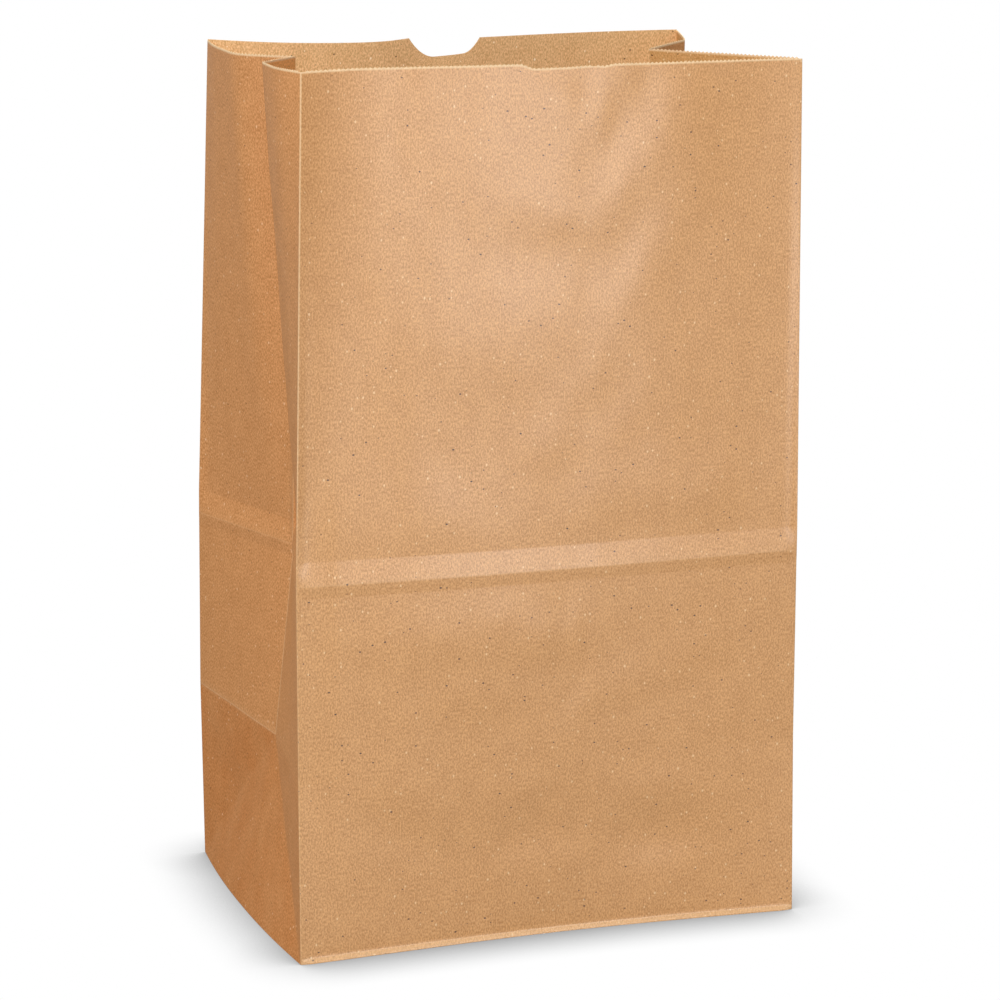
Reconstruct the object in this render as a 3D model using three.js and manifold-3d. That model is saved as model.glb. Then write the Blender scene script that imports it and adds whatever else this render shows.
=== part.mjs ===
// A self-opening paper grocery bag: one sheet of kraft paper, glued into a tube with
// two side gussets and folded into a block bottom, standing open on the ground.
// Millimetres, +Z up. The origin is under the middle of the base, and -Y is the front.
import * as THREE from "three";
import { mergeVertices } from "three/addons/utils/BufferGeometryUtils.js";
import Module from "manifold-3d";

// The sheet and the block it stands up to
const WIDTH = 260; // front and back panels, across the base
const DEPTH = 178; // each gusset, opened out along the base
const HEIGHT = 432; // ground to mouth
const PAPER = 0.2; // one layer of kraft paper
const BASE_EDGE = 2; // height of the rounding along the fold round the base
const BASE_ROUND = 1.5; // how far that rounding draws the base in
const SIDE_BOW = 4.8; // how far the base bows out in the middle of each gusset
const FRONT_BOW = 3; // how far the base's front edge bows in

// The glued lap that closes the tube, on the inside of the front panel
const LAP_WIDTH = 25;
const LAP_EDGE = 17; // its right edge, to the right of the middle
const LAP_STEP = 0.8; // run of the step at each edge of the lap

// The fold across the bag from packing: a ridge with a sloping band above it
const RIDGE_ABOVE_FOLD = 98; // from the top of the base fold up to the ridge
const BAND = 11.5; // height of the band above the ridge
const STRIP = 6; // height of the dented strip under the ridge
const RIDGE_PROUD = 0.8; // how far the ridge stands out
const BAND_DENT = 0.5; // how far the paper is pushed in beside it
const CORNER_LENGTH = 5; // how near a corner the ridge dies out

// The middle crease of each gusset: how far it is tucked inside the side plane
const BASE_FOLD_TUCK = 14; // at the top of the base fold, both gussets
const RIDGE_TUCK = 24; // at the packing fold, both gussets
const LEFT_TUCK = 23; // at the mouth
const RIGHT_TUCK = 53; // at the mouth

// The mouth
const MOUTH_NARROWING = 2.2; // how far each corner has come in across the bag
const LEFT_DRAWN = { front: 7, back: 12 }; // how far the left corners have come together
const RIGHT_DRAWN = { front: 11, back: 19 }; // how far the right corners have come together
const BACK_CORNER_RISE = 1.4; // how far the back right corner stands higher
const LIP_OUT = 15.5; // how far the front lip of the left gusset bends out
const LEFT_BELLY = 32; // how far the back half of the left gusset is pulled out
const RIGHT_BELLY = 22; // the same on the right
const BACK_HOLLOW = 18; // how far the back panel is pushed in
const BACK_DIP = 1.6; // how far its edge dips there
const FRONT_DIP = 1.4; // how far the front panel's edge dips near its middle
const NOTCH_WIDTH = 39; // thumb notch in the back panel
const NOTCH_FLOOR = 16;
const NOTCH_DEPTH = 10;
const NOTCH_OFFSET = 5; // how far it lies to the left of the middle
const TOOTH_PITCH = 4.3; // saw-cut edge of the front panel and gussets
const TOOTH_DEPTH = 0.8;

// The block bottom
const FLAP_LAP = 25; // how far the two long flaps overlap under the base

// How finely the sheet is divided
const HALF_CELLS = 6; // across half a gusset, and up the base fold
const LOWER_CELLS = 3; // from the base fold up to the packing fold
const UPPER_CELLS = 5; // from the packing fold up to the mouth
const PANEL_CELLS = 4; // across a front or back panel, from near a corner to the lap or notch
const NOTCH_CELLS = 6; // down each side of the notch

const side = WIDTH / 2;
const fold = DEPTH / 2; // height of the base fold
const ridgeHeight = fold + RIDGE_ABOVE_FOLD;
const lerp = THREE.MathUtils.lerp;

// Sections of the standing bag, from the ground up. The corners are given by how far they stand out
// across the bag, and a gusset by its middle crease, lip and belly and by how far it draws its
// corners together, which for a gusset with flat halves follows from the tuck.
function gusset(tuck, shape = {}) {
  const drawn = fold - Math.sqrt(Math.max(fold ** 2 - tuck ** 2, 0));
  const straight = { lipShare: 0.5, lipOut: 0, bellyShare: 0.5, belly: 0, along: 0, rise: 0 };
  return { ...straight, tuck, drawn: { front: drawn, back: drawn }, cornerRise: 0, ...shape };
}
const packed = {
  ...{ frontOut: 0.3, backOut: 2.4, frontBow: -1, frontDip: 0, hollow: 4, backDip: 0 },
  left: gusset(RIDGE_TUCK, { lipShare: 0.92, along: 2 }),
  right: gusset(RIDGE_TUCK),
};
const SECTIONS = [
  {
    z: 0,
    proud: 0,
    ...{ frontOut: 0, backOut: 0, frontBow: FRONT_BOW, frontDip: 0, hollow: 0, backDip: 0 },
    left: gusset(-SIDE_BOW, { drawn: { front: 0, back: 0 } }),
    right: gusset(-SIDE_BOW, { drawn: { front: 0, back: 0 } }),
  },
  {
    z: fold,
    proud: 0,
    ...{ frontOut: 0.2, backOut: 2, frontBow: -1, frontDip: 0, hollow: 3, backDip: 0 },
    left: gusset(BASE_FOLD_TUCK),
    right: gusset(BASE_FOLD_TUCK),
  },
  { z: ridgeHeight - STRIP, proud: -BAND_DENT, ...packed },
  { z: ridgeHeight, proud: RIDGE_PROUD, ...packed },
  { z: ridgeHeight + BAND, proud: -BAND_DENT, ...packed },
  {
    z: HEIGHT,
    proud: 0,
    ...{ frontOut: -MOUTH_NARROWING, backOut: -MOUTH_NARROWING, frontBow: 0 },
    ...{ frontDip: FRONT_DIP, hollow: BACK_HOLLOW, backDip: BACK_DIP },
    left: gusset(LEFT_TUCK, {
      ...{ drawn: LEFT_DRAWN, lipOut: LIP_OUT, bellyShare: 0.85, belly: LEFT_BELLY, along: -9 },
    }),
    right: gusset(RIGHT_TUCK, {
      ...{ drawn: RIGHT_DRAWN, cornerRise: BACK_CORNER_RISE },
      ...{ bellyShare: 0.58, belly: RIGHT_BELLY, along: -3, rise: -2 },
    }),
  },
];

const gussetOf = (s, hand) => (hand < 0 ? s.left : s.right);
const frontCorner = (s, hand) =>
  new THREE.Vector3(hand * (side + s.frontOut), gussetOf(s, hand).drawn.front - fold, s.z);
const backCorner = (s, hand) => {
  const { drawn, cornerRise } = gussetOf(s, hand);
  return new THREE.Vector3(hand * (side + s.backOut), fold - drawn.back, s.z + cornerRise);
};
const creasePoint = (s, hand) => {
  const { tuck, along, rise } = gussetOf(s, hand);
  return new THREE.Vector3(hand * (side - tuck), along, s.z + rise);
};

// The hollow of the back panel, deepest towards its left end, and the dip in the front edge
const hollowShape = (share) => Math.sin(Math.PI * (1 - share) ** 0.55) ** 2;
const dipShape = (share) => Math.exp(-(((share - 0.46) / 0.09) ** 2));

// One point of a panel at one section. share runs across the front panel from left to right and
// across the back panel from right to left, and in a gusset from a corner to the middle crease.
function sectionPoint(s, { panel, hand, share }) {
  const ridge = share > 0 && share < 1 ? s.proud : 0;
  if (panel === "front") {
    const p = frontCorner(s, -1).lerp(frontCorner(s, 1), share);
    p.y += s.frontBow * Math.sin(Math.PI * share) - ridge;
    p.z -= s.frontDip * dipShape(share);
    return p;
  }
  if (panel === "back") {
    const p = backCorner(s, 1).lerp(backCorner(s, -1), share);
    p.y -= s.hollow * hollowShape(share) + ridge;
    p.z -= s.backDip * hollowShape(share);
    return p;
  }
  const g = gussetOf(s, hand);
  const crease = creasePoint(s, hand);
  const out = new THREE.Vector3(hand, 0, 0);
  const p = new THREE.Vector3();
  if (panel === "gussetFront") {
    const corner = frontCorner(s, hand);
    const lip = corner.clone().lerp(crease, g.lipShare).addScaledVector(out, g.lipOut);
    if (share < 0.5) p.lerpVectors(corner, lip, share * 2);
    else p.lerpVectors(lip, crease, share * 2 - 1);
  } else {
    const corner = backCorner(s, hand);
    const belly = corner.clone().lerp(crease, g.bellyShare).addScaledVector(out, g.belly);
    new THREE.QuadraticBezierCurve3(corner, belly, crease).getPoint(share, p);
  }
  return p.addScaledVector(out, ridge);
}

// Under the base fold a gusset is two flat triangles, which meet along a crease that runs
// from the corner of the base up to the middle crease.
function basePoint(place, rise) {
  const [ground, top] = SECTIONS;
  const { panel, hand, share } = place;
  if (!panel.startsWith("gusset"))
    return sectionPoint(ground, place).lerp(sectionPoint(top, place), rise);
  const corner = panel === "gussetFront" ? frontCorner : backCorner;
  const foot = corner(ground, hand);
  const up = corner(top, hand).sub(foot);
  const across = creasePoint(top, hand).sub(foot);
  const along = creasePoint(ground, hand).sub(foot);
  if (rise >= share) return foot.addScaledVector(up, rise - share).addScaledVector(across, share);
  const p = foot.addScaledVector(across, rise).addScaledVector(along, share - rise);
  p.x += hand * SIDE_BOW * (share - rise) * (1 - share);
  return p;
}

// A point of the paper's middle surface at a height
function wallPoint(place, z) {
  if (z < fold) {
    const p = basePoint(place, z / fold);
    const drawnIn = BASE_ROUND * (1 - Math.min(1, z / BASE_EDGE)) ** 2;
    p.x -= (p.x / side) * drawnIn;
    p.y -= (p.y / fold) * drawnIn;
    return p;
  }
  let k = 1;
  while (k < SECTIONS.length - 2 && z >= SECTIONS[k + 1].z) k += 1;
  const [a, b] = [SECTIONS[k], SECTIONS[k + 1]];
  return sectionPoint(a, place).lerp(sectionPoint(b, place), (z - a.z) / (b.z - a.z));
}

// Places round the bag, anticlockwise from the front left corner. Each cell of the sheet
// reaches from its own place to the next one on the same panel.
const even = (count) => Array.from({ length: count + 1 }, (_, i) => i / count);
const between = (low, high, count) => even(count).slice(1).map((f) => lerp(low, high, f));
const shareAt = (x) => x / WIDTH + 0.5;
const byCorner = CORNER_LENGTH / WIDTH;
const lapStart = LAP_EDGE - LAP_WIDTH;
const lapEnds = [lapStart - LAP_STEP, lapStart, LAP_EDGE, LAP_EDGE + LAP_STEP].map(shareAt);
const frontShares = [
  ...[0, byCorner],
  ...between(byCorner, lapEnds[0], PANEL_CELLS),
  ...lapEnds.slice(1),
  ...between(lapEnds[3], 1 - byCorner, PANEL_CELLS),
  1,
];
const notchHalf = NOTCH_WIDTH / WIDTH / 2;
const notchMiddle = shareAt(NOTCH_OFFSET);
const backShares = [
  ...[0, byCorner],
  ...between(byCorner, notchMiddle - notchHalf, PANEL_CELLS),
  notchMiddle,
  notchMiddle + notchHalf,
  ...between(notchMiddle + notchHalf, 1 - byCorner, PANEL_CELLS),
  1,
];
const runs = [
  { panel: "front", hand: 0, shares: frontShares },
  { panel: "gussetFront", hand: 1, shares: even(HALF_CELLS) },
  { panel: "gussetBack", hand: 1, shares: even(HALF_CELLS).reverse() },
  { panel: "back", hand: 0, shares: backShares },
  { panel: "gussetBack", hand: -1, shares: even(HALF_CELLS) },
  { panel: "gussetFront", hand: -1, shares: even(HALF_CELLS).reverse() },
];
const cells = runs.flatMap(({ panel, hand, shares }) =>
  shares.slice(0, -1).map((share, i) => ({ panel, hand, share, end: shares[i + 1] })),
);

// Heights of the rows, up to the last one under the saw-cut edge and the notch
const rim = HEIGHT - NOTCH_DEPTH - 3 * TOOTH_DEPTH;
const heights = [
  ...[PAPER / 2, BASE_EDGE / 3, BASE_EDGE],
  ...between(0, fold, HALF_CELLS),
  ...between(fold, ridgeHeight - STRIP, LOWER_CELLS),
  ...[ridgeHeight, ridgeHeight + BAND],
  ...between(ridgeHeight + BAND, rim, UPPER_CELLS),
];

// How far the edge of the mouth lies below its top at a place
function notchDrop(share) {
  const x = Math.abs(share - notchMiddle) * WIDTH;
  const slope = (NOTCH_WIDTH - NOTCH_FLOOR) / 2;
  const f = THREE.MathUtils.clamp((x - NOTCH_FLOOR / 2) / slope, 0, 1);
  return NOTCH_DEPTH * (1 - f * f);
}

// The places along one cell's stretch of the mouth, with the height of the edge at each
function mouthEdge(cell) {
  const width = wallPoint(cell, HEIGHT).distanceTo(wallPoint({ ...cell, share: cell.end }, HEIGHT));
  const isBack = cell.panel === "back";
  const inNotch = isBack && Math.abs((cell.share + cell.end) / 2 - notchMiddle) < notchHalf;
  const teeth = Math.max(1, Math.round(width / TOOTH_PITCH));
  const steps = inNotch ? NOTCH_CELLS : isBack ? 1 : 2 * teeth;
  return even(steps).map((f, i) => {
    const share = lerp(cell.share, cell.end, f);
    const drop = isBack ? notchDrop(share) : (i % 2) * TOOTH_DEPTH;
    return { place: { ...cell, share }, z: HEIGHT - drop };
  });
}

// The middle surface as one open strip of triangles, facing out
const points = [];
const layers = [];
const faces = [];
const inLap = ({ panel, share }) =>
  panel === "front" &&
  share > shareAt(lapStart - LAP_STEP / 2) &&
  share < shareAt(LAP_EDGE + LAP_STEP / 2);
function addPoint(place, z) {
  points.push(wallPoint(place, z));
  layers.push(inLap(place) ? 2 : 1);
  return points.length - 1;
}
const grid = heights.map((z) => cells.map((cell) => addPoint(cell, z)));
const around = (row, i) => row[i % row.length];
for (let r = 0; r < grid.length - 1; r += 1)
  cells.forEach(({ panel, hand }, i) => {
    const [a, b] = [around(grid[r], i), around(grid[r], i + 1)];
    const [d, c] = [around(grid[r + 1], i), around(grid[r + 1], i + 1)];
    const leansRight = (panel === "gussetFront") === hand > 0;
    if (leansRight) faces.push([a, b, c], [a, c, d]);
    else faces.push([a, b, d], [b, c, d]);
  });

// The last row is joined to the finer points of the mouth's edge.
const mouth = [];
const topRow = grid[grid.length - 1];
cells.forEach((cell, i) => {
  const edge = mouthEdge(cell).slice(0, -1).map(({ place, z }) => addPoint(place, z));
  mouth.push({ edge, a: topRow[i], b: around(topRow, i + 1) });
});
mouth.forEach(({ edge, a, b }, i) => {
  const line = [...edge, around(mouth, i + 1).edge[0]];
  const turn = Math.floor(line.length / 2);
  for (let j = 0; j < turn; j += 1) faces.push([a, line[j + 1], line[j]]);
  faces.push([a, b, line[turn]]);
  for (let j = turn; j < line.length - 1; j += 1) faces.push([b, line[j + 1], line[j]]);
});
const mouthLine = mouth.flatMap(({ edge }) => edge);

// Each point is moved out and in along a mitred normal, so the paper keeps its thickness
// on both sides of a crease.
const normals = points.map(() => new THREE.Vector3());
const touching = points.map(() => []);
faces.forEach((face) => {
  const triangle = new THREE.Triangle(...face.map((i) => points[i]));
  const normal = triangle.getNormal(new THREE.Vector3());
  face.forEach((at, j) => {
    const to = points[face[(j + 1) % 3]].clone().sub(points[at]);
    const from = points[face[(j + 2) % 3]].clone().sub(points[at]);
    normals[at].addScaledVector(normal, to.angleTo(from));
    touching[at].push(normal);
  });
});
normals.forEach((normal, i) => {
  normal.normalize();
  const least = Math.min(...touching[i].map((n) => n.dot(normal)));
  normal.divideScalar(Math.max(least, 0.4));
});
const outer = points.map((p, i) => p.clone().addScaledVector(normals[i], PAPER / 2));
const inner = points.map((p, i) => p.clone().addScaledVector(normals[i], PAPER / 2 - PAPER * layers[i]));

// The tube of paper as one closed solid, with its edges at the mouth and at the base closed
const count = points.length;
const shell = faces.flatMap(([a, b, c]) => [a, b, c, a + count, c + count, b + count]);
const closeEdge = (line, isMouth) =>
  line.forEach((a, i) => {
    const b = around(line, i + 1);
    if (isMouth) shell.push(a, b, b + count, a, b + count, a + count);
    else shell.push(a, b + count, b, a, a + count, b + count);
  });
closeEdge(mouthLine, true);
closeEdge(grid[0], false);
const tube = new THREE.BufferGeometry();
tube.setFromPoints([...outer, ...inner]);
tube.setIndex(shell);

const wasm = await Module();
wasm.setup();
function solidOf(geometry) {
  const bare = new THREE.BufferGeometry();
  bare.setAttribute("position", geometry.getAttribute("position"));
  bare.setIndex(geometry.index);
  const merged = mergeVertices(bare, 1e-4);
  return new wasm.Manifold(
    new wasm.Mesh({
      numProp: 3,
      vertProperties: merged.getAttribute("position").array,
      triVerts: new Uint32Array(merged.index.array),
    }),
  );
}

// A flat layer of the base, from one height to another
function layer(outline, low, high) {
  const shape = new THREE.Shape(outline.map((p) => new THREE.Vector2(p.x, p.y)));
  const plate = new THREE.ExtrudeGeometry(shape, { depth: high - low, bevelEnabled: false });
  return solidOf(plate.translate(0, 0, low));
}

// The base: the gussets' end flaps make the floor, the front flap is glued under them, and the
// back flap under that. Each long flap narrows at 45 degrees from its fold to its free edge.
const ground = cells.map((cell) => wallPoint(cell, 2.5 * PAPER));
function longFlap(hand, low) {
  const reach = fold + FLAP_LAP / 2;
  const edge = hand * fold;
  const free = hand * (fold - reach);
  const corners = [
    new THREE.Vector2(-side, edge),
    new THREE.Vector2(side, edge),
    new THREE.Vector2(side - reach, free),
    new THREE.Vector2(reach - side, free),
  ];
  const trimmed = layer(ground, low, 2.5 * PAPER);
  return layer(corners, low - PAPER, 3 * PAPER).intersect(trimmed);
}
const paperBag = solidOf(tube)
  .add(layer(ground, 2 * PAPER, 3 * PAPER))
  .add(longFlap(-1, PAPER))
  .add(longFlap(1, 0));

const made = paperBag.getMesh();
const bagGeometry = new THREE.BufferGeometry();
bagGeometry.setAttribute("position", new THREE.BufferAttribute(new Float32Array(made.vertProperties), 3));
bagGeometry.setIndex(new THREE.BufferAttribute(made.triVerts, 1));
bagGeometry.computeVertexNormals();

const kraft = new THREE.MeshStandardMaterial({ color: 0xc2925f, roughness: 0.85, metalness: 0 });
const bag = new THREE.Mesh(bagGeometry, kraft);
bag.name = "paper_bag";
const part = new THREE.Group();
part.add(bag);
export default part;
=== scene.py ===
import math
import bpy
import numpy as np
from mathutils import Matrix, Vector, noise


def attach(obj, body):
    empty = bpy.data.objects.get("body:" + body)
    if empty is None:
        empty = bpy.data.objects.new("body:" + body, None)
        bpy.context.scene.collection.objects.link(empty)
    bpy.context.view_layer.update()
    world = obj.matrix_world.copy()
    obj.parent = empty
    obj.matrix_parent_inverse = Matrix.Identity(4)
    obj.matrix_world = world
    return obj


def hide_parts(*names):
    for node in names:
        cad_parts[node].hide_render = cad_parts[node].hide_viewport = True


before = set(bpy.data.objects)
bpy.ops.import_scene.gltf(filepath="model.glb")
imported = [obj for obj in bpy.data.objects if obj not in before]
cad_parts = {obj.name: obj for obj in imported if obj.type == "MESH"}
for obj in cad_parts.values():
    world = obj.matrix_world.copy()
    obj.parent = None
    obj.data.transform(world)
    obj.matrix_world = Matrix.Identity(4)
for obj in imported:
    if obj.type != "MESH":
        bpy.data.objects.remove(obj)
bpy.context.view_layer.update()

# The folded sheet
# The bag is one sheet of brown kraft paper, rolled into a tube and glued along a lap in the front
# panel. Each side is a gusset of two halves, and the foot of the tube is folded into a block bottom.
# Lengths are in millimetres until the mesh is made, with the ground at 0 and the front at -Y.
WIDTH = 260.0
DEPTH = 178.0
HEIGHT = 432.0
PAPER = 0.2
SIDE = WIDTH / 2
FOLD = DEPTH / 2
GIRTH = 2 * (WIDTH + DEPTH)

# The tube is set out by levels, from the ground up. A little under half way up, the bag was folded
# over for packing. That left a ridge across it, with a band over it that leans in and a strip under it.
RIDGE = FOLD + 98.0
BAND = 11.5
STRIP = 6.0
RIDGE_PROUD = 0.4
BAND_DENT = 1.2
FRONT_BOW = 6.5
SIDE_BOW = 4.8


def gusset(
    tuck,
    drawn=None,
    lip=(0.5, 0.0, 0.0, 0.0),
    belly=(0.5, 0.0),
    kink=(0.5, 0.0),
    along=0.0,
    rise=0.0,
    corner_rise=0.0,
):
    """One side at one level: how far its middle crease is tucked in and its two corners drawn in.

    The lip is a fold of the front half: its place, and how far it stands out, rises and swells.
    The back half has a round belly or a sharp kink: its place, and how far it stands out.
    along and rise move the middle crease back and up, and corner_rise lifts the back corner."""
    if drawn is None:
        flat = FOLD - math.sqrt(max(FOLD**2 - tuck**2, 0.0))
        drawn = (flat, flat)
    names = ("tuck", "drawn", "lip", "belly", "kink", "along", "rise", "corner_rise")
    return dict(zip(names, (tuck, drawn, lip, belly, kink, along, rise, corner_rise)))


def level(z, proud, front, back, bow, hollow, back_dip, left, right):
    """One level of the tube. front and back say how far the left and right corners stand out.

    proud moves the front and the sides out and the back in, as the fold across the bag did. bow moves
    the middle of the front in, hollow does so for the back, and back_dip lowers the back where it is
    pushed in. left and right are the two gussets."""
    names = ("z", "proud", "front", "back", "bow", "hollow", "back_dip", "left", "right")
    return dict(zip(names, (z, proud, front, back, bow, hollow, back_dip, left, right)))


ground_side = gusset(-SIDE_BOW, (-4.5, 0.0))
folded_side = gusset(14.0)
packed_left = gusset(24.0, lip=(0.92, 0.0, 0.0, 0.0), along=2.0)
packed_right = gusset(24.0)
mouth_left = gusset(23.0, (7.0, 12.0), (0.5, 17.7, 1.2, 2.5), (0.85, 32.0), along=-9.0, corner_rise=0.7)
mouth_right = gusset(50.4, (11.0, 15.2), kink=(0.547, 13.0), along=-2.3, rise=-1.3, corner_rise=0.6)
packed = ((0.3, 0.8), (2.4, 2.4), -2.5, 4.0, 0.0, packed_left, packed_right)
LEVELS = [
    level(0.0, 0.0, (1.0, 0.2), (0.0, 0.0), FRONT_BOW, 0.0, 0.0, ground_side, ground_side),
    level(FOLD, 0.0, (0.2, 0.7), (2.0, 2.0), -0.4, 3.0, 0.0, folded_side, folded_side),
    level(RIDGE - STRIP, 0.0, *packed),
    level(RIDGE, RIDGE_PROUD, *packed),
    level(RIDGE + BAND, -BAND_DENT, *packed),
    level(HEIGHT, 0.0, (-3.8, -0.2), (-2.2, -3.5), -4.6, 18.0, 1.6, mouth_left, mouth_right),
]


def side_of(at, hand):
    return at["left"] if hand < 0 else at["right"]


def front_corner(at, hand):
    out = at["front"][0 if hand < 0 else 1]
    return np.array([hand * (SIDE + out), side_of(at, hand)["drawn"][0] - FOLD, at["z"]])


def back_corner(at, hand):
    out = at["back"][0 if hand < 0 else 1]
    half = side_of(at, hand)
    return np.array([hand * (SIDE + out), FOLD - half["drawn"][1], at["z"] + half["corner_rise"]])


def crease_point(at, hand):
    half = side_of(at, hand)
    return np.array([hand * (SIDE - half["tuck"]), half["along"], at["z"] + half["rise"]])


def mix(a, b, share):
    share = np.asarray(share)[..., None]
    return a * (1 - share) + b * share


# The ridge and the band die out close to the folds, and stand out further on the soft sides.
CORNER_HOLD = 5.0
SIDE_PROUD = 1.6


def corner_fade(share, length):
    """1 over a panel, and 0 at its two ends."""
    return np.clip(np.minimum(share, 1 - share) * length / CORNER_HOLD, 0, 1)


# The back panel is pushed in, most towards its left end, and springs back and up beside the notch.
HOLLOW_LEAN = 0.55
SPRING_PLACE = 0.43
SPRING_WIDE = 0.06
SPRING_BACK = 0.12
SPRING_UP = 0.83


def spring_shape(from_left):
    return np.exp(-(((from_left - SPRING_PLACE) / SPRING_WIDE) ** 2))


def hollow_shape(from_left):
    return np.sin(np.pi * from_left**HOLLOW_LEAN) ** 2 * (1 - SPRING_BACK * spring_shape(from_left))


def panel_point(at, panel, hand, share):
    """Points of one panel at one level. share runs across a panel, or from a corner to the middle crease."""
    if panel == "front":
        made = mix(front_corner(at, -1), front_corner(at, 1), share)
        narrow = 2.0 if at["bow"] < 0 else 1.0
        bow = at["bow"] * np.clip(np.sin(np.pi * share), 0, 1) ** narrow
        made[..., 1] += bow - at["proud"] * corner_fade(share, WIDTH)
        return made
    if panel == "back":
        made = mix(back_corner(at, 1), back_corner(at, -1), share)
        from_left = np.clip(1 - share, 0, 1)
        made[..., 1] -= at["hollow"] * hollow_shape(from_left) + at["proud"] * corner_fade(share, WIDTH)
        made[..., 2] -= at["back_dip"] * hollow_shape(from_left)
        made[..., 2] += at["back_dip"] * SPRING_UP * spring_shape(from_left)
        return made
    half = side_of(at, hand)
    crease = crease_point(at, hand)
    out = np.array([hand, 0.0, 0.0])
    if panel == "gusset_front":
        corner = front_corner(at, hand)
        where, proud, rise, swell = half["lip"]
        lip = corner + (crease - corner) * where + out * proud + np.array([0.0, 0.0, rise])
        swell_way = np.array([0.6 * hand, -0.8, 0.0])
        near = mix(corner, lip, share * 2)
        near += np.sin(np.pi * np.clip(share * 2, 0, 1))[..., None] * swell_way * swell
        made = np.where((share < 0.5)[..., None], near, mix(lip, crease, share * 2 - 1))
    else:
        corner = back_corner(at, hand)
        belly = corner + (crease - corner) * half["belly"][0] + out * half["belly"][1]
        made = mix(mix(corner, belly, share), mix(belly, crease, share), share)
        if half["kink"][1] > 0:
            kink = corner + (crease - corner) * half["kink"][0] + out * half["kink"][1]
            near = mix(corner, kink, share * 2)
            made = np.where((share < 0.5)[..., None], near, mix(kink, crease, share * 2 - 1))
    made[..., 0] += hand * at["proud"] * SIDE_PROUD * corner_fade(share, FOLD)
    return made


# At the foot of the front a narrow strip flares out, where the bottom's fold pushes the paper forward.
FOOT_STRIP = 2.8
FOOT_FLARE = 1.2
STRIP_BLEND = 0.3


def base_point(panel, hand, share, rise):
    """Under the base fold a gusset is two triangles, with a crease up from the corner of the base."""
    ground, top = LEVELS[0], LEVELS[1]
    if panel in ("front", "back"):
        made = mix(panel_point(ground, panel, hand, share), panel_point(top, panel, hand, share), rise)
        if panel == "front":
            flare = np.clip(1 - rise * FOLD / FOOT_STRIP, 0, 1) * FOOT_FLARE
            made[..., 1] -= flare * corner_fade(share, WIDTH)
        return made
    corner = front_corner if panel == "gusset_front" else back_corner
    foot = corner(ground, hand)
    up = corner(top, hand) - foot
    across = crease_point(top, hand) - foot
    along = crease_point(ground, hand) - foot
    upper = foot + up * (rise - share)[..., None] + across * share[..., None]
    lower = foot + across * rise[..., None] + along * (share - rise)[..., None]
    lower[..., 0] += hand * SIDE_BOW * (share - rise) * (1 - share)
    return np.where((rise >= share)[..., None], upper, lower)


# The panels in the order they follow each other round the sheet, from the front left corner: name,
# hand, length along the sheet, and whether the share runs from the middle crease to the corner.
PANELS = [
    ("front", 0, WIDTH, False),
    ("gusset_front", 1, FOLD, False),
    ("gusset_back", 1, FOLD, True),
    ("back", 0, WIDTH, False),
    ("gusset_back", -1, FOLD, False),
    ("gusset_front", -1, FOLD, True),
]
STARTS = np.cumsum([0.0] + [panel[2] for panel in PANELS])

# The last bit of the wall is drawn in, so that the edge round the base is a little rounded.
BASE_EDGE = 1.2
BASE_ROUND = 0.15


def wall_point(around, up):
    """The middle of the paper at a distance round the sheet and a height up it."""
    around = np.mod(around, GIRTH)
    made = np.zeros(around.shape + (3,))
    for (panel, hand, length, backwards), start in zip(PANELS, STARTS):
        here = (around >= start) & (around < start + length)
        share = (around[here] - start) / length
        if backwards:
            share = 1 - share
        z = up[here]
        on_panel = np.zeros(share.shape + (3,))
        low = z < FOLD
        foot = base_point(panel, hand, share[low], z[low] / FOLD)
        drawn = BASE_ROUND * (1 - np.clip(z[low] / BASE_EDGE, 0, 1)) ** 2
        foot[..., 0] -= foot[..., 0] / SIDE * drawn
        foot[..., 1] -= foot[..., 1] / FOLD * drawn
        on_panel[low] = foot
        for first in range(1, len(LEVELS) - 1):
            a, b = LEVELS[first], LEVELS[first + 1]
            on = (z >= a["z"]) & ((z < b["z"]) | (b is LEVELS[-1]))
            part = (z[on] - a["z"]) / (b["z"] - a["z"])
            below = panel_point(a, panel, hand, share[on])
            on_panel[on] = mix(below, panel_point(b, panel, hand, share[on]), part)
        made[here] = on_panel
    return made


# A fold in kraft paper has a small radius. It is made by averaging close places, with these weights.
ROUND_ACROSS = ((-0.6, 1), (-0.3, 2), (0.0, 3), (0.3, 2), (0.6, 1))
ROUND_ALONG = ((-0.4, 1), (0.0, 2), (0.4, 1))
ROUND_TOTAL = 36.0


def soft_point(around, up):
    """The same paper with its folds rounded."""
    made = 0.0
    for step, weight in ROUND_ACROSS:
        for rise, share in ROUND_ALONG:
            close = wall_point(around + step, np.clip(up + rise, 0.0, None))
            made = made + weight * share / ROUND_TOTAL * close
    return made


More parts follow.
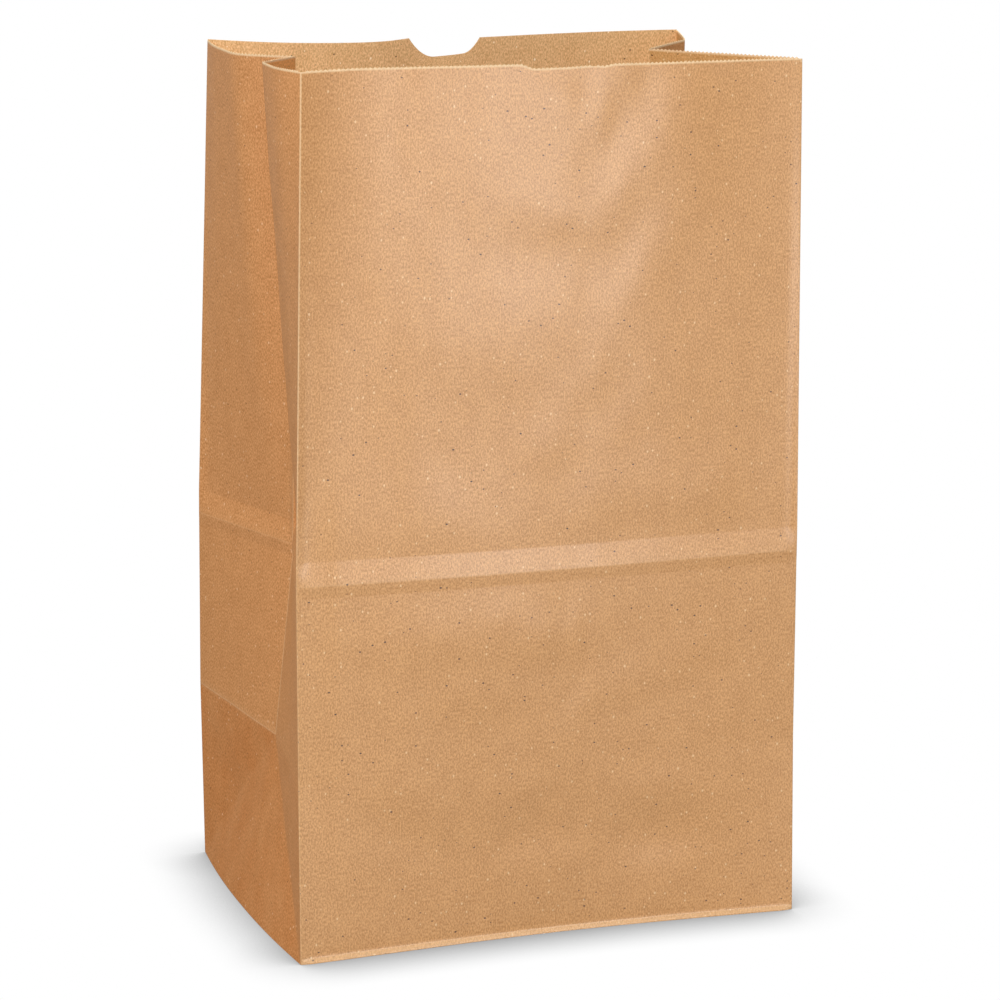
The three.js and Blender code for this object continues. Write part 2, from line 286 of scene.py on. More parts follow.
# Places round the sheet. Each cell of the front panel and the gussets has one saw tooth over it, and
# there are more places close to the folds, the lap's edge in the front, and the notch in the back.
FRONT_TEETH = 118
GUSSET_TEETH = 40
TOOTH_DEPTH = 0.7
BACK_CELLS = 20
NOTCH_CELLS = 24
NOTCH_FLOOR = 16.0
NOTCH_LEFT = 14.2
NOTCH_RIGHT = 10.2
NOTCH_DEPTH = 9.2
NOTCH_LEAN = 1.0
NOTCH_OFFSET = 4.0
LAP_EDGE = 17.0
LAP_WIDTH = 25.0
LAP_STEP = 0.3
BESIDE_FOLDS = (0.35, 0.8)
around_line = []
for (panel, hand, length, backwards), start in zip(PANELS, STARTS):
    if panel == "back":
        centre = start + length / 2 + NOTCH_OFFSET
        right_end = centre - NOTCH_FLOOR / 2 - NOTCH_RIGHT
        left_end = centre + NOTCH_FLOOR / 2 + NOTCH_LEFT
        around_line += list(np.linspace(start, right_end, BACK_CELLS, endpoint=False))
        around_line += list(np.linspace(right_end, left_end, NOTCH_CELLS, endpoint=False))
        around_line += list(np.linspace(left_end, start + length, BACK_CELLS, endpoint=False))
    else:
        cells = FRONT_TEETH if panel == "front" else GUSSET_TEETH
        around_line += list(np.linspace(start, start + length, cells, endpoint=False))
    for beside in BESIDE_FOLDS:
        around_line += [start + beside, start + length - beside]
around_line += [SIDE + LAP_EDGE - LAP_STEP, SIDE + LAP_EDGE + LAP_STEP]
around_line = np.array(sorted(around_line))

# Heights up the sheet. Under the base fold the rows are as close as the places across half a gusset,
# so that the slanting crease there runs from corner to corner of the cells. Towards the mouth's cut
# edge they get closer and closer.
LOW_ROWS = 21
HIGH_ROWS = 34
BESIDE_CREASE = 0.5
BAND_SHARES = (0.35, 0.7)
FOOT_ROWS = [0.1, 0.6, 1.2]
RIM_ROWS = np.array([14.0, 11.0, 8.5, 6.0, 4.0, 2.6, 1.6, 0.9, 0.4, 0.0])
up_line = FOOT_ROWS + [FOOT_STRIP - STRIP_BLEND, FOOT_STRIP + STRIP_BLEND]
up_line += list(np.linspace(0, FOLD, GUSSET_TEETH, endpoint=False)[1:])
up_line += list(np.linspace(FOLD, RIDGE - STRIP, LOW_ROWS)[1:-1])
for line in (FOLD, RIDGE - STRIP, RIDGE, RIDGE + BAND):
    up_line += [line - BESIDE_CREASE, line, line + BESIDE_CREASE]
up_line += [RIDGE - STRIP / 2] + [RIDGE + BAND * share for share in BAND_SHARES]
up_line += list(np.linspace(RIDGE + BAND, HEIGHT - RIM_ROWS[0], HIGH_ROWS)[1:])
up_line += list(HEIGHT - RIM_ROWS[1:])
up_line = np.array(sorted(up_line))


def notch_drop(around):
    """How far the thumb notch cuts down into the back panel's edge. It is deeper on its left."""
    x = around - (STARTS[3] + WIDTH / 2 + NOTCH_OFFSET)
    slope = np.where(x > 0, NOTCH_LEFT, NOTCH_RIGHT)
    wall = np.clip((np.abs(x) - NOTCH_FLOOR / 2) / slope, 0, 1)
    lean = np.clip(x / NOTCH_FLOOR * 2, -1, 1) * NOTCH_LEAN
    return (NOTCH_DEPTH + lean) * (1 - wall * wall)


def has_teeth(around):
    return (around < STARTS[3]) | (around > STARTS[4])


# The front's edge isn't straight: it steps down a little left of the lap, and up again right of it.
# The places are distances from the front left fold. The mesh close under the edge follows all cuts.
RIM_PLACES = (0.0, 26.0, 106.0, 109.0, 115.0, 135.0, 146.0, 152.0, 157.0, 182.0, WIDTH)
RIM_RISES = (0.0, 0.9, 1.1, 1.1, -1.1, -0.8, -0.3, -0.7, 0.2, 0.1, 0.0)
RIM_REACH = 24.0
RIM_POWER = 1.5


def rim_rise(around):
    return np.where(around < WIDTH, np.interp(around, RIM_PLACES, RIM_RISES), 0.0)


rows, columns = len(up_line), len(around_line)
around_grid, up_grid = np.meshgrid(around_line, up_line)
near_rim = np.clip((up_grid - (HEIGHT - RIM_REACH)) / RIM_REACH, 0, 1) ** RIM_POWER
cut = np.where(has_teeth(around_grid), TOOTH_DEPTH, notch_drop(around_grid))
up_sheet = up_grid - near_rim * (cut - rim_rise(around_grid))
on_front = around_grid < WIDTH
on_right = (around_grid > STARTS[1]) & (around_grid < STARTS[3])
on_back = (around_grid > STARTS[3]) & (around_grid < STARTS[4])
on_left = around_grid > STARTS[4]


def normals_of(points):
    """The outward direction at each point of the tube."""
    along = np.roll(points, -1, 1) - np.roll(points, 1, 1)
    made = np.cross(along, np.gradient(points, axis=0))
    return made / np.linalg.norm(made, axis=-1, keepdims=True)


# The paper has been handled, so it isn't flat between its folds: it swells and has shallow dents.
# The front's main ones are set out by x, z, their half sizes, their turn in degrees and their height.
FRONT_DENTS = [
    (-8, 400, 80, 120, 0, 0.8),
    (-80, 390, 45, 160, 0, 0.8),
    (-3, 366, 30, 14, -4, 0.6),
    (0, 340, 32, 15, -4, -0.5),
    (-30, 298, 45, 30, 0, 1.0),
    (3, 416, 7, 8, 0, 0.25),
    (2, 360, 8, 6, 0, 0.25),
    (31, 376, 7, 7, 0, 0.35),
    (19, 408, 11, 28, -35, 0.55),
    (34, 404, 12, 34, -35, -0.6),
    (60, 398, 26, 52, -33, 1.4),
    (70, 350, 45, 90, 0, 1.0),
    (30, 338, 13, 36, -36, -0.5),
    (47, 338, 15, 38, -36, 0.45),
    (8, 272, 10, 24, -35, 0.3),
    (26, 268, 10, 24, -35, -0.12),
    (0, 250, 22, 12, 0, 0.5),
    (75, 220, 50, 16, -3, 0.7),
    (-25, 158, 75, 24, -2, 0.9),
    (46, 129, 10, 65, -68, 0.2),
    (52, 114, 10, 60, -68, -0.3),
    (-1, 154, 16, 10, 0, 0.4),
    (-1, 138, 16, 10, 0, -0.35),
    (-79, 156, 24, 12, 0, 0.4),
    (-38, 126, 26, 10, 0, 0.4),
    (56, 71, 26, 12, -4, 0.5),
    (56, 46, 28, 14, -4, -1.4),
    (-13, 78, 26, 13, 10, 0.4),
    (-13, 52, 26, 14, 10, -1.0),
    (-80, 82, 26, 12, -30, 0.4),
    (-80, 60, 26, 12, -30, -0.9),
    (4, 158, 6, 14, 0, -0.3),
    (11, 160, 4, 20, 0, 0.3),
    (8, 122, 5, 10, -25, -0.15),
    (14, 116, 5, 10, -25, 0.15),
    (14, 101, 32, 7, 8, 0.25),
    (14, 64, 5, 18, -10, -0.4),
    (8, 58, 5, 16, -10, 0.3),
    (10, 32, 6, 12, 0, 0.5),
]
# The same for the left side, from its middle crease towards the front.
LEFT_DENTS = [
    (-35, 380, 14, 130, 4.7, 3.2),
    (67, 380, 16, 130, 0, 1.8),
    (-72, 50, 32, 18, 0, -1.1),
]
# The uneven swelling of all panels: size across, size along, layer of the noise, and height. Like the
# dents, it dies out towards the folds.
WAVES = ((60.0, 80.0, 0.3, 0.5), (24.0, 34.0, 4.7, 0.34), (12.0, 15.0, 8.2, 0.1))
FADE_POWER = 0.7
# The paper lies calm at the foot and at the ridge, so far each way.
CALM_LINES = ((0.0, 12.0), (RIDGE, 16.0))


def swelling(around, up):
    """Millimetres that the paper stands out at one place of the sheet."""
    total = 0.0
    for across, along, layer, height in WAVES:
        total += height * noise.noise(Vector((around / across, up / along, layer)))
    return total


swell = np.array([swelling(a, b) for a, b in zip(around_grid.ravel(), up_grid.ravel())])
swell = swell.reshape(rows, columns)
for dents, centre, here in ((FRONT_DENTS, SIDE, on_front), (LEFT_DENTS, STARTS[5], on_left)):
    for x, z, wide, tall, turn, height in dents:
        cosine = math.cos(math.radians(turn))
        sine = math.sin(math.radians(turn))
        beside = around_grid - centre - x
        over = up_grid - z
        across = (cosine * beside + sine * over) / wide
        along = (cosine * over - sine * beside) / tall
        swell += here * height * np.exp(-(across**2) - along**2)
fade = np.zeros_like(around_grid)
for (panel, hand, length, backwards), start in zip(PANELS, STARTS):
    here = (around_grid >= start) & (around_grid < start + length)
    fade += here * np.sin(np.pi * np.clip((around_grid - start) / length, 0, 1)) ** FADE_POWER
for line, reach in CALM_LINES:
    fade *= 1 - np.exp(-(((up_grid - line) / reach) ** 2))
swell *= fade

# The front's left half bulges, most at the band's upper crease. It ends soon over the band, and runs
# on down to the foot.
BULGE = 1.7
BULGE_PLACE = 65.0
BULGE_WIDE = 62.0
BULGE_OVER = 40.0
BULGE_UNDER = 220.0
BULGE_EDGE = 20.0
above = up_grid - RIDGE - BAND
tall = np.where(above > 0, BULGE_OVER, BULGE_UNDER)
bulge = np.exp(-((above / tall) ** 2) - ((around_grid - BULGE_PLACE) / BULGE_WIDE) ** 2)
swell += on_front * np.clip(around_grid / BULGE_EDGE, 0, 1) * BULGE * bulge

# Right of the lap's edge the front lies one sheet further out. That is lost again towards the fold.
LAP_BLEND = 9.0
LAP_FADE = 40.0
lapped = np.clip((around_grid - SIDE - LAP_EDGE) / LAP_BLEND + 0.5, 0, 1) * on_front
lapped *= np.clip((WIDTH - around_grid) / LAP_FADE, 0, 1)
swell += PAPER * lapped

# The base fold runs up a little towards the back corners.
FOLD_RISE = 5.3
RISE_BEHIND = 30.0
RISE_OVER = 60.0
from_crease = np.minimum(np.abs(around_grid - STARTS[2]), np.abs(around_grid - STARTS[5]))
from_corner = np.minimum(np.abs(around_grid - STARTS[3]), np.abs(around_grid - STARTS[4]))
back_part = (around_grid > STARTS[2]) & (around_grid < STARTS[5])
lift_behind = np.clip(1 - from_corner / RISE_BEHIND, 0, 1)
lift = np.where(on_back, lift_behind, np.clip(from_crease / FOLD, 0, 1)) * back_part
lift *= np.clip(np.minimum(up_grid / FOLD, 1 - (up_grid - FOLD) / RISE_OVER), 0, 1) * FOLD_RISE
lifted = soft_point(around_grid, up_sheet)
lifted[..., 2] += lift
middle = lifted + normals_of(lifted) * swell[..., None]
normals = normals_of(middle)

# The tips of the saw teeth, one between every two places of the last row that aren't too close
TOOTH_ROOM = 1.5
next_line = np.append(around_line[1:], GIRTH)
tip_line = (around_line + next_line) / 2
has_tip = has_teeth(tip_line) & (next_line - around_line > TOOTH_ROOM)
rim_swell = (swell[-1] + np.roll(swell[-1], -1)) / 2
rim_normals = (normals[-1] + np.roll(normals[-1], -1, 0)) / 2
tips = soft_point(tip_line, HEIGHT + rim_rise(tip_line)) + rim_normals * rim_swell[:, None]

# Two layers of points make the outer and inner faces of the paper. Across the lap there are two sheets.
in_lap = on_front & (around_grid > SIDE + LAP_EDGE - LAP_WIDTH) & (around_grid < SIDE + LAP_EDGE)
thickness = np.where(in_lap, 2 * PAPER, PAPER)
outer = np.concatenate([(middle + normals * PAPER / 2).reshape(-1, 3), tips + rim_normals * PAPER / 2])
inner_wall = middle + normals * (PAPER / 2 - thickness)[..., None]
inner = np.concatenate([inner_wall.reshape(-1, 3), tips - rim_normals * PAPER / 2])
count = len(outer)
points = [tuple(point) for point in np.concatenate([outer, inner])]
first_tip = rows * columns
faces = []

# Each corner of a face also has its place on the flat sheet. The inside, the cut edges and the layers
# of the bottom have places of their own, so far from the outside's.
INSIDE_SHIFT = 700.0
MOUTH_SHIFT = 1500.0
FOOT_SHIFT = 1600.0
FLOOR_SHIFTS = (2000.0, 3000.0, 4000.0)
UPPER_SHIFT = 300.0
flat_places = []


def add_face(corners, places):
    faces.append(tuple(corners))
    flat_places.extend(places)


def add_sheet(corners, places):
    """One cell of the paper: its outer face, and its inner face seen from the other side."""
    add_face(corners, places)
    behind = [(-a, b + INSIDE_SHIFT) for a, b in reversed(places)]
    add_face([corner + count for corner in reversed(corners)], behind)


slant = np.zeros(columns)
for (panel, hand, length, backwards), start in zip(PANELS, STARTS):
    if panel.startswith("gusset"):
        slant[(around_line >= start) & (around_line < start + length)] = -1 if backwards else 1
for row in range(rows - 1):
    for column in range(columns):
        after = (column + 1) % columns
        a, b = row * columns + column, row * columns + after
        corners = [a, b, b + columns, a + columns]
        left, right = around_line[column], next_line[column]
        low, high = up_line[row], up_line[row + 1]
        places = [(left, low), (right, low), (right, high), (left, high)]
        if row == rows - 2 and has_tip[column]:
            corners.insert(3, first_tip + column)
            places.insert(3, (tip_line[column], high))
        if low < FOLD and slant[column] > 0:
            add_sheet(corners[:3], places[:3])
            add_sheet([corners[0]] + corners[2:], [places[0]] + places[2:])
        elif low < FOLD and slant[column] < 0:
            add_sheet([corners[0], corners[1], corners[3]], [places[0], places[1], places[3]])
            add_sheet(corners[1:], places[1:])
        else:
            add_sheet(corners, places)


def add_edge(a, b, shift):
    """A strip of cut paper between the outer and the inner layer."""
    places = [(0.0, shift), (1.0, shift), (1.0, shift + PAPER), (0.0, shift + PAPER)]
    add_face((a, b, b + count, a + count), places)


# The cut edges, at the mouth and where the tube ends under the base
for column in range(columns):
    after = (column + 1) % columns
    line = [(rows - 1) * columns + column, (rows - 1) * columns + after]
    if has_tip[column]:
        line.insert(1, first_tip + column)
    for a, b in zip(line, line[1:]):
        add_edge(a, b, MOUTH_SHIFT)
    add_edge(after, column, FOOT_SHIFT)

# The floor of the bag, with the front flap glued under it and the back flap under that. It stays
# just inside the wall.
FLAP_LAP = 25.0
INSIDE_WALL = 0.9995
ring = (middle[0] + normals[0] * PAPER / 2)[:, :2] * INSIDE_WALL


def add_plate(outline, low, high, shift):
    base = len(points)
    size = len(outline)
    points.extend((x, y, low) for x, y in outline)
    points.extend((x, y, high) for x, y in outline)
    spots = [(x + shift, y) for x, y in outline]
    add_face([base + i for i in reversed(range(size))], list(reversed(spots)))
    add_face([base + size + i for i in range(size)], [(a, b + UPPER_SHIFT) for a, b in spots])
    for i in range(size):
        j = (i + 1) % size
        edge = [spots[i], spots[j], spots[j], spots[i]]
        add_face([base + i, base + j, base + size + j, base + size + i], edge)


reach = FOLD + FLAP_LAP / 2
front_edge = [tuple(p) for p in ring[around_line <= WIDTH]]
back_edge = [tuple(p) for p in ring[(around_line >= STARTS[3]) & (around_line <= STARTS[4])]]
free = [(SIDE - reach, reach - FOLD), (reach - SIDE, reach - FOLD)]
add_plate([tuple(p) for p in ring], 2 * PAPER, 3 * PAPER, FLOOR_SHIFTS[0])
add_plate(front_edge + free, PAPER, 2 * PAPER, FLOOR_SHIFTS[1])
add_plate(back_edge + [(-x, -y) for x, y in free], 0.0, PAPER, FLOOR_SHIFTS[2])

# From here on lengths are in metres. An edge sharper than this angle isn't smoothed over.
MILLIMETRE = 0.001
SHARP = math.radians(48)
mesh = bpy.data.meshes.new("paper_bag_sheet")
mesh.from_pydata((np.array(points) * MILLIMETRE).tolist(), [], faces)
mesh.polygons.foreach_set("use_smooth", [True] * len(faces))
mesh.set_sharp_from_angle(angle=SHARP)
sheet_map = mesh.uv_layers.new(name="sheet")
sheet_map.uv.foreach_set("vector", (np.array(flat_places) * MILLIMETRE).astype(np.float32).ravel())


def mark(name, outside, inside, tip):
    """Give every point of the paper a number that the material reads."""
    tips_here = np.full(columns, tip)
    base_here = np.zeros(len(points) - 2 * count)
    values = np.concatenate([outside.ravel(), tips_here, inside.ravel(), tips_here, base_here])
    mesh.attributes.new(name, "FLOAT", "POINT").data.foreach_set("value", values.astype(np.float32))


def wear(distance, reach, amount):
    return np.clip(1 - np.abs(distance) / reach, 0, 1) * amount


def ease(share):
    share = np.clip(share, 0, 1)
    return share * share * (3 - 2 * share)


# Where the paper is worn pale: along its folds, along the foot of the front, and at its cut edge.
# The front left fold is worn most in its upper half, and there and along the foot of the front the pale
# colour is partly a painted highlight.
FOLD_WEAR = 0.3
RIDGE_WEAR = 0.1
FOOT_WEAR_AND_HIGHLIGHT = 0.22
LOW_EDGE_WEAR_AND_HIGHLIGHT = 0.2
HIGH_EDGE_WEAR_AND_HIGHLIGHT = 0.4
HIGH_FROM = 190.0
HIGH_BLEND = 40.0
RIM_WEAR = 0.85
TOOTHED_RIM = 0.6
PLAIN_RIM = 0.4
RIM_BLEND = 0.6
SIDE_WIDTH = 0.8
CROSS_WIDTH = 0.6
nowhere = np.zeros((rows, columns))
upper = np.clip((up_grid - HIGH_FROM) / HIGH_BLEND, 0, 1)
from_front_left = np.minimum(around_grid, GIRTH - around_grid)
# Partly a painted highlight along the front left fold, brightest in its upper half.
wear_and_highlight = np.maximum(nowhere, wear(from_front_left, SIDE_WIDTH, LOW_EDGE_WEAR_AND_HIGHLIGHT + HIGH_EDGE_WEAR_AND_HIGHLIGHT * upper))
for start in STARTS[1:-1]:
    wear_and_highlight = np.maximum(wear_and_highlight, wear(around_grid - start, SIDE_WIDTH, FOLD_WEAR) * (up_grid > FOLD))
wear_and_highlight = np.maximum(wear_and_highlight, wear(up_grid - RIDGE, CROSS_WIDTH, RIDGE_WEAR))
wear_and_highlight = np.maximum(wear_and_highlight, wear(up_grid - FOLD, CROSS_WIDTH, FOLD_WEAR) * back_part)
foot_share = np.clip((FOOT_STRIP + STRIP_BLEND - up_grid) / (2 * STRIP_BLEND), 0, 1)
# Partly a painted highlight along the foot of the front.
wear_and_highlight = np.maximum(wear_and_highlight, on_front * foot_share * FOOT_WEAR_AND_HIGHLIGHT)
rim = np.where(has_teeth(around_grid), TOOTHED_RIM, PLAIN_RIM)
wear_and_highlight = np.maximum(wear_and_highlight, np.clip((up_grid - HEIGHT + rim) / (RIM_BLEND * rim), 0, RIM_WEAR))
mark("wear_and_highlight", wear_and_highlight, wear_and_highlight, 1.0)

# The front was pressed smooth in the stack, so it shines. A strip beside its left fold, which gets
# wider towards the mouth, is dull and is also painted darker there as painted shade, and the front's right
# end is a little duller. The back shines less, the left side slightly and only towards the mouth, and the
# right side not at all.
DULL_STRIP_FOOT = 215.0
DULL_STRIP_BLEND = 20.0
DULL_STRIP_WIDTH = 45.0
DULL_STRIP_WIDENS = 110.0
DULL_STRIP_POWER = 0.7
DULL_STRIP_HALF = 247.0
DULL_STRIP_FULL = 150.0
dull_strip_width = DULL_STRIP_WIDTH * np.clip((up_grid - DULL_STRIP_FOOT) / DULL_STRIP_WIDENS, 0.01, 1) ** DULL_STRIP_POWER
dull_strip_strength = 0.5 + 0.5 * ease((up_grid - DULL_STRIP_HALF) / DULL_STRIP_FULL)
dull_shaded_strip = on_front * (1 - ease(around_grid / dull_strip_width)) * dull_strip_strength
dull_shaded_strip *= ease((up_grid - DULL_STRIP_FOOT) / DULL_STRIP_BLEND + 0.5)
mark("dull_shaded_strip", dull_shaded_strip, nowhere, 0.0)
DULL_STRIP_DEPTH = 0.9
RIGHT_DULL = 0.12
RIGHT_REACH = 95.0
RIGHT_BLEND = 55.0
BACK_POLISH = 0.4
SIDE_POLISH = 0.22
right_part = on_front * ease((around_grid - WIDTH + RIGHT_REACH) / RIGHT_BLEND)
front_polish = 1 - DULL_STRIP_DEPTH * dull_shaded_strip - RIGHT_DULL * right_part
side_polish = SIDE_POLISH * np.clip((up_grid - FOLD) / (HEIGHT - FOLD), 0, 1) * ~on_right
polished = np.where(on_front, front_polish, np.where(on_back, BACK_POLISH, side_polish))
mark("polished", polished, nowhere, 0.0)

# Painted shade: the folded-in foot of each side is painted darker, most in the corner at the back.
FOOT_SHADE = 0.7
BACK_MORE = 0.2
FRONT_LESS = 0.5
SLANT_BLEND = 6.0
panels_out = on_front | on_back
over_slant = np.clip((up_grid + from_crease - FOLD) / SLANT_BLEND + 0.5, 0, 1)
painted_foot_shade = np.where(back_part, FOOT_SHADE + BACK_MORE * over_slant, FOOT_SHADE - FRONT_LESS * over_slant)
under_fold = np.clip((FOLD + BESIDE_CREASE - up_grid) / BESIDE_CREASE, 0, 1)
painted_foot_shade = painted_foot_shade * ~panels_out * under_fold
mark("painted_foot_shade", painted_foot_shade, painted_foot_shade, 0.0)

# Painted light: the sides are painted a little redder than the panels, for the warmer light that falls on
# them.
mark("side_light_tint", np.where(panels_out, 0.0, 1.0), nowhere, 0.0)

# Painted light: inside, the paper is painted paler, most on the back where light falls in at the mouth, and
# least on the shaded right side.
mark("painted_inside_light", nowhere, np.where(on_back, 1.0, np.where(on_right, 0.0, 0.5)), 0.0)
mesh.update()
bag = bpy.data.objects.new("paper_bag_sheet", mesh)
bpy.context.scene.collection.objects.link(bag)


class Tone:
    """A value, colour or direction that changes over a surface: one socket of a material's nodes."""

    def __init__(self, tree, socket=None):
        self.tree = tree
        self.socket = socket

    def node(self, kind, settings, sockets, output=0):
        made = self.tree.nodes.new("ShaderNode" + kind)
        for name, value in settings.items():
            setattr(made, name, value)
        for name, value in sockets.items():
            if isinstance(value, Tone):
                self.tree.links.new(value.socket, made.inputs[name])
            else:
                made.inputs[name].default_value = value
        return Tone(self.tree, made.outputs[output])

    def maths(self, operation, first, second):
        return self.node("Math", {"operation": operation}, {0: first, 1: second})

    def __add__(self, other):
        return self.maths("ADD", self, other)

    __radd__ = __add__

    def __mul__(self, other):
        return self.maths("MULTIPLY", self, other)

    __rmul__ = __mul__

    def __sub__(self, other):
        return self.maths("SUBTRACT", self, other)

    def __rsub__(self, other):
        return self.maths("SUBTRACT", other, self)

    def __gt__(self, other):
        return self.maths("GREATER_THAN", self, other)

    def __lt__(self, other):
        return self.maths("LESS_THAN", self, other)

    def fit(self, low, high, to_low=0.0, to_high=1.0):
        sockets = {0: self, 1: low, 2: high, 3: to_low, 4: to_high}
        return self.node("MapRange", {"clamp": True}, sockets)

    def scaled(self, across, along):
        """The same place on the sheet, in units of so many millimetres each way."""
        units = (1 / (across * MILLIMETRE), 1 / (along * MILLIMETRE), 1.0)
        return self.node("VectorMath", {"operation": "MULTIPLY"}, {0: self, 1: units})

    def grain(self, detail, roughness=0.5):
        """Noise about 0, in cells of one unit."""
        settings = {"noise_dimensions": "2D"}
        sockets = {"Vector": self, "Scale": 1.0, "Detail": detail, "Roughness": roughness}
        return self.node("TexNoise", settings, sockets) - 0.5

    def over(self, below, cover, blend="MIX"):
        """This colour laid over another one, as far as cover says."""
        settings = {"data_type": "RGBA", "blend_type": blend}
        return self.node("Mix", settings, {0: cover, 6: below, 7: self}, 2)


def colour(tree, red, green, blue):
    made = tree.nodes.new("ShaderNodeRGB")
    made.outputs[0].default_value = (red, green, blue, 1.0)
    return Tone(tree, made.outputs[0])


# Kraft paper: unbleached wood pulp, cloudy where the fibres lie thicker, with a grain along the height
# of the bag, dark flecks of bark and pale fibres, and broken pale fibres where it is worn, which along the
# front left fold and the foot of the front also paint a highlight.
kraft = bpy.data.materials.new("kraft_paper")
kraft.use_nodes = True
tree = kraft.node_tree
shader = tree.nodes["Principled BSDF"]
paper = Tone(tree)
place = paper.node("UVMap", {"uv_map": "sheet"}, {})


def marked(name):
    """The number that the points of the paper have under this name."""
    return paper.node("Attribute", {"attribute_name": name}, {}, "Fac")


def flecks(across, along, share, size):
    """Specks scattered over the sheet: that share of its cells has one, and they differ in size."""
    spot = place.scaled(across, along)
    settings = {"voronoi_dimensions": "2D"}
    sockets = {"Vector": spot, "Scale": 1.0, "Randomness": 1.0}
    distance = spot.node("TexVoronoi", settings, sockets)
    pick = spot.node("TexVoronoi", settings, sockets, "Color")
    chance = pick.node("SeparateColor", {}, {0: pick})
    radius = (chance - (1 - share)) * (size / share)
    return (radius - distance).fit(0.0, 0.06)


cloud = place.scaled(9.0, 13.0).grain(3.0)
fibre = place.scaled(0.75, 1.3).grain(2.0, 0.6)
thread = place.scaled(0.55, 5.0).grain(1.0)
tone = (0.5 + cloud * 0.4 + fibre * 2.5 + thread * 0.35).fit(0.0, 1.0)
dark_pulp = colour(tree, 0.444, 0.207, 0.063)
light_pulp = colour(tree, 0.69, 0.365, 0.141)
pulp = light_pulp.over(dark_pulp, tone)

# The painted shade at the foot of each side is uneven. Dark flecks show less on the dull sides than on the
# front and inside.
# What lies past INSIDE_FROM on the flat sheet is the inside or a cut edge.
INSIDE_FROM = 650.0
shade_cloud = place.scaled(22.0, 30.0).grain(3.0)
foot_shade_brown = colour(tree, 0.93, 0.80, 0.66)
bark_brown = colour(tree, 0.08, 0.03, 0.012)
fibre_cream = colour(tree, 0.90, 0.66, 0.38)
painted_side_light = colour(tree, 1.045, 0.97, 1.035)
strip_shade_brown = colour(tree, 0.25, 0.13, 0.11)
pale_wear_and_highlight = colour(tree, 0.93, 0.70, 0.43)
# Painted shade on the folded-in foot of each side, uneven in strength.
pulp = foot_shade_brown.over(pulp, marked("painted_foot_shade") * (0.9 + shade_cloud * 1.4), "MULTIPLY")
height_on_sheet = paper.node("SeparateXYZ", {}, {0: place}, "Y")
inside = height_on_sheet > INSIDE_FROM * MILLIMETRE
polish = marked("polished")
clear = (0.45 + polish * 0.55 + inside * 0.55).fit(0.0, 1.0)
bark = flecks(3.1, 2.2, 0.05, 0.22)
cream = flecks(2.7, 3.9, 0.12, 0.2)
pulp = bark_brown.over(pulp, bark * clear)
pulp = fibre_cream.over(pulp, cream * 0.6)
# Painted light: a redder tint on the sides.
pulp = painted_side_light.over(pulp, marked("side_light_tint"), "MULTIPLY")
# Painted shade: the dull strip beside the front left fold is painted darker.
pulp = strip_shade_brown.over(pulp, marked("dull_shaded_strip") * 0.15)

# Painted light: the inside is painted paler, in three steps from the shaded right side to the left one and
# the back.
inside_light_level = marked("painted_inside_light")
right_inside_light = colour(tree, 1.08, 1.2, 1.28)
left_inside_light = colour(tree, 1.62, 1.62, 1.56)
back_inside_light = colour(tree, 1.38, 1.76, 2.4)
inside_light_tint = left_inside_light.over(right_inside_light, inside_light_level.fit(0.0, 0.5))
inside_light_tint = back_inside_light.over(inside_light_tint, inside_light_level.fit(0.5, 1.0))
pulp = inside_light_tint.over(pulp, inside, "MULTIPLY")
broken = place.scaled(1.2, 1.2).grain(2.0)
rubbed_and_highlit = (marked("wear_and_highlight") * (1.0 + broken * 0.9)).fit(0.0, 1.0)
# The pale worn colour is partly a painted highlight along the front left fold and the foot of the front.
pulp = pale_wear_and_highlight.over(pulp, rubbed_and_highlit)
roughness = 0.7 + fibre * 0.25 + rubbed_and_highlit * 0.2
relief = {"Strength": 0.25, "Distance": 0.0003, "Height": fibre + thread * 0.5}
bumped = paper.node("Bump", {}, relief)
coat = polish * (0.31 + fibre * 0.13) * (1.0 - rubbed_and_highlit)
varied = {"Base Color": pulp, "Roughness": roughness, "Normal": bumped, "Coat Weight": coat}
for name, value in varied.items():
    tree.links.new(value.socket, shader.inputs[name])
shader.inputs["Coat Roughness"].default_value = 0.34
shader.inputs["Coat IOR"].default_value = 2.5
shader.inputs["Specular IOR Level"].default_value = 0.05
mesh.materials.append(kraft)
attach(bag, "root")
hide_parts("paper_bag")

# The floor
# A plain white studio table, far larger than the bag. It is white where it is looked at, and
# darkens close to the bag, where the paper keeps the light off it.
SPREAD = 8.0
SHADOW_REACH = 0.038
floor_mesh = bpy.data.meshes.new("studio_floor")
corners = [(-SPREAD, -SPREAD, 0.0), (SPREAD, -SPREAD, 0.0), (SPREAD, SPREAD, 0.0), (-SPREAD, SPREAD, 0.0)]
floor_mesh.from_pydata(corners, [], [(0, 1, 2, 3)])
floor = bpy.data.objects.new("studio_floor", floor_mesh)
bpy.context.scene.collection.objects.link(floor)


def looked_at(tree):
    """1 for what the camera sees, also in a mirror or through glass."""
    seen = Tone(tree).node("LightPath", {}, {}, "Is Camera Ray")
    for ray in ("Is Glossy Ray", "Is Transmission Ray"):
        seen = seen.maths("MAXIMUM", seen, Tone(tree).node("LightPath", {}, {}, ray))
    return seen


table = bpy.data.materials.new("studio_white")
table.use_nodes = True
tree = table.node_tree
tree.nodes.remove(tree.nodes["Principled BSDF"])
white = Tone(tree)
lit = white.node("BsdfDiffuse", {}, {"Color": (0.35, 0.35, 0.35, 1.0)})
open_sky = white.node("AmbientOcclusion", {"samples": 16}, {"Distance": SHADOW_REACH}, "AO")
shade = open_sky.fit(0.45, 0.98, 0.36, 1.0)
shown = white.node("Emission", {}, {"Color": shade, "Strength": 1.0})
surface = white.node("MixShader", {}, {0: looked_at(tree), 1: lit, 2: shown})
tree.links.new(surface.socket, tree.nodes["Material Output"].inputs["Surface"])
floor_mesh.materials.append(table)


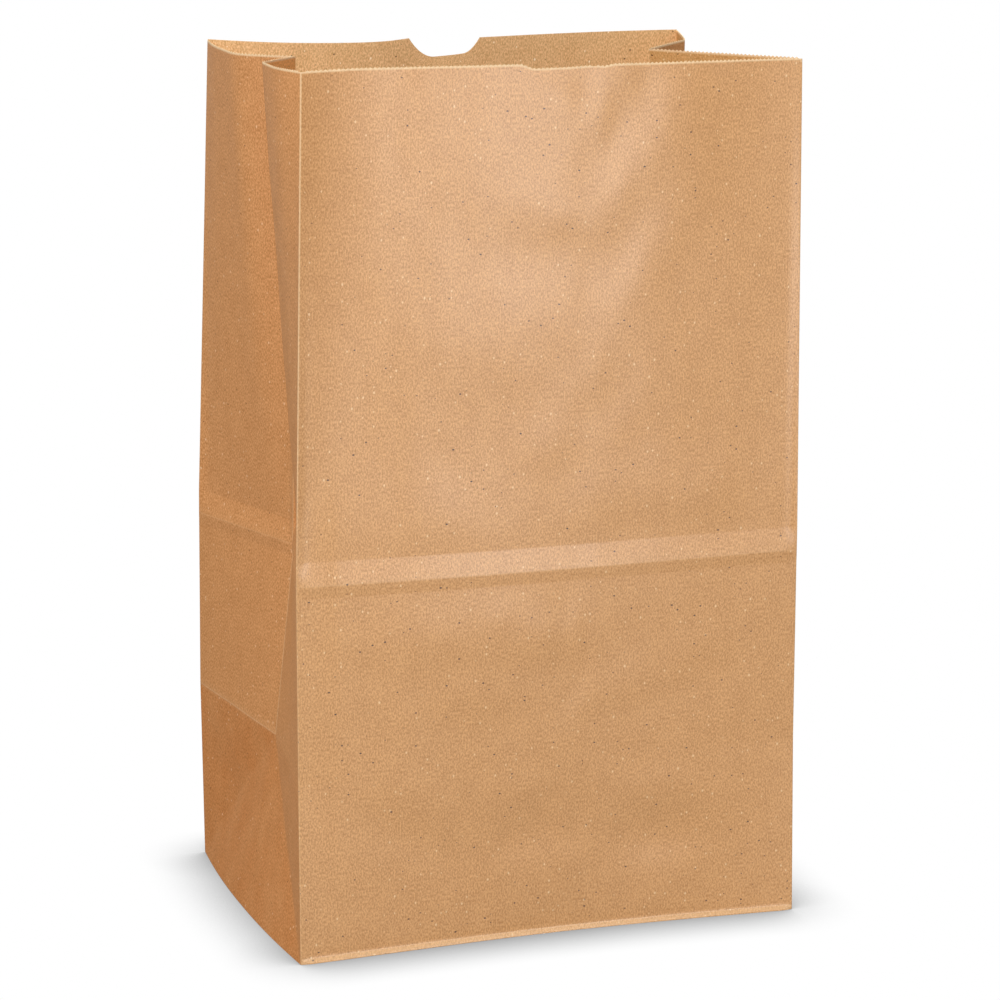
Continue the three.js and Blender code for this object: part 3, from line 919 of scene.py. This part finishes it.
# The light
# A broad soft box high on the left, a small one low on the right whose gleam lies on the front, one
# high on the right that lights the inside of the mouth, and a pale room.
def soft_box(name, at, target, size, power):
    lamp = bpy.data.lights.new(name, "AREA")
    lamp.shape = "RECTANGLE"
    lamp.size = size[0]
    lamp.size_y = size[1]
    lamp.energy = power
    made = bpy.data.objects.new(name, lamp)
    bpy.context.scene.collection.objects.link(made)
    made.location = at
    made.rotation_euler = (Vector(target) - Vector(at)).to_track_quat("-Z", "Y").to_euler()


soft_box("key_box", (0.62, -1.99, 0.25), (0.0, 0.0, 0.28), (0.42, 0.46), 6.3)
soft_box("main_box", (-1.39, -1.39, 1.63), (0.0, 0.0, 0.25), (1.1, 1.1), 42.4)
soft_box("over_box", (0.9, -0.85, 2.0), (0.0, 0.0, 0.35), (0.8, 0.8), 9.0)
ROOM_WHITE = (1.0, 1.0, 1.0, 1.0)
room = bpy.data.worlds.new("studio_room")
bpy.context.scene.world = room
room.use_nodes = True
tree = room.node_tree
air = Tone(tree)
dim = air.node("Background", {}, {"Color": ROOM_WHITE, "Strength": 0.38})
pale = air.node("Background", {}, {"Color": ROOM_WHITE, "Strength": 1.0})
sky = air.node("MixShader", {}, {0: looked_at(tree), 1: dim, 2: pale})
tree.links.new(sky.socket, tree.nodes["World Output"].inputs["Surface"])

# The camera
# It stands to the left of the middle of the front and looks a little down on the bag.
CAMERA_AT = (-0.5867, -1.6336, 0.5927)
tilt, yaw, roll = (math.radians(angle) for angle in (12.66, 19.86, 0.551))
forward = Vector((math.sin(yaw) * math.cos(tilt), math.cos(yaw) * math.cos(tilt), -math.sin(tilt)))
level_right = Vector((math.cos(yaw), -math.sin(yaw), 0.0))
level_up = level_right.cross(forward)
rightward = level_right * math.cos(roll) + level_up * math.sin(roll)
upward = level_up * math.cos(roll) - level_right * math.sin(roll)
lens = bpy.data.cameras.new("camera")
lens.sensor_width = 36.0
lens.lens = 125.6
camera = bpy.data.objects.new("camera", lens)
bpy.context.scene.collection.objects.link(camera)
turned = Matrix((rightward, upward, -forward)).transposed().to_4x4()
camera.matrix_world = Matrix.Translation(CAMERA_AT) @ turned
bpy.context.scene.camera = camera
bpy.context.scene.view_settings.view_transform = "Standard"
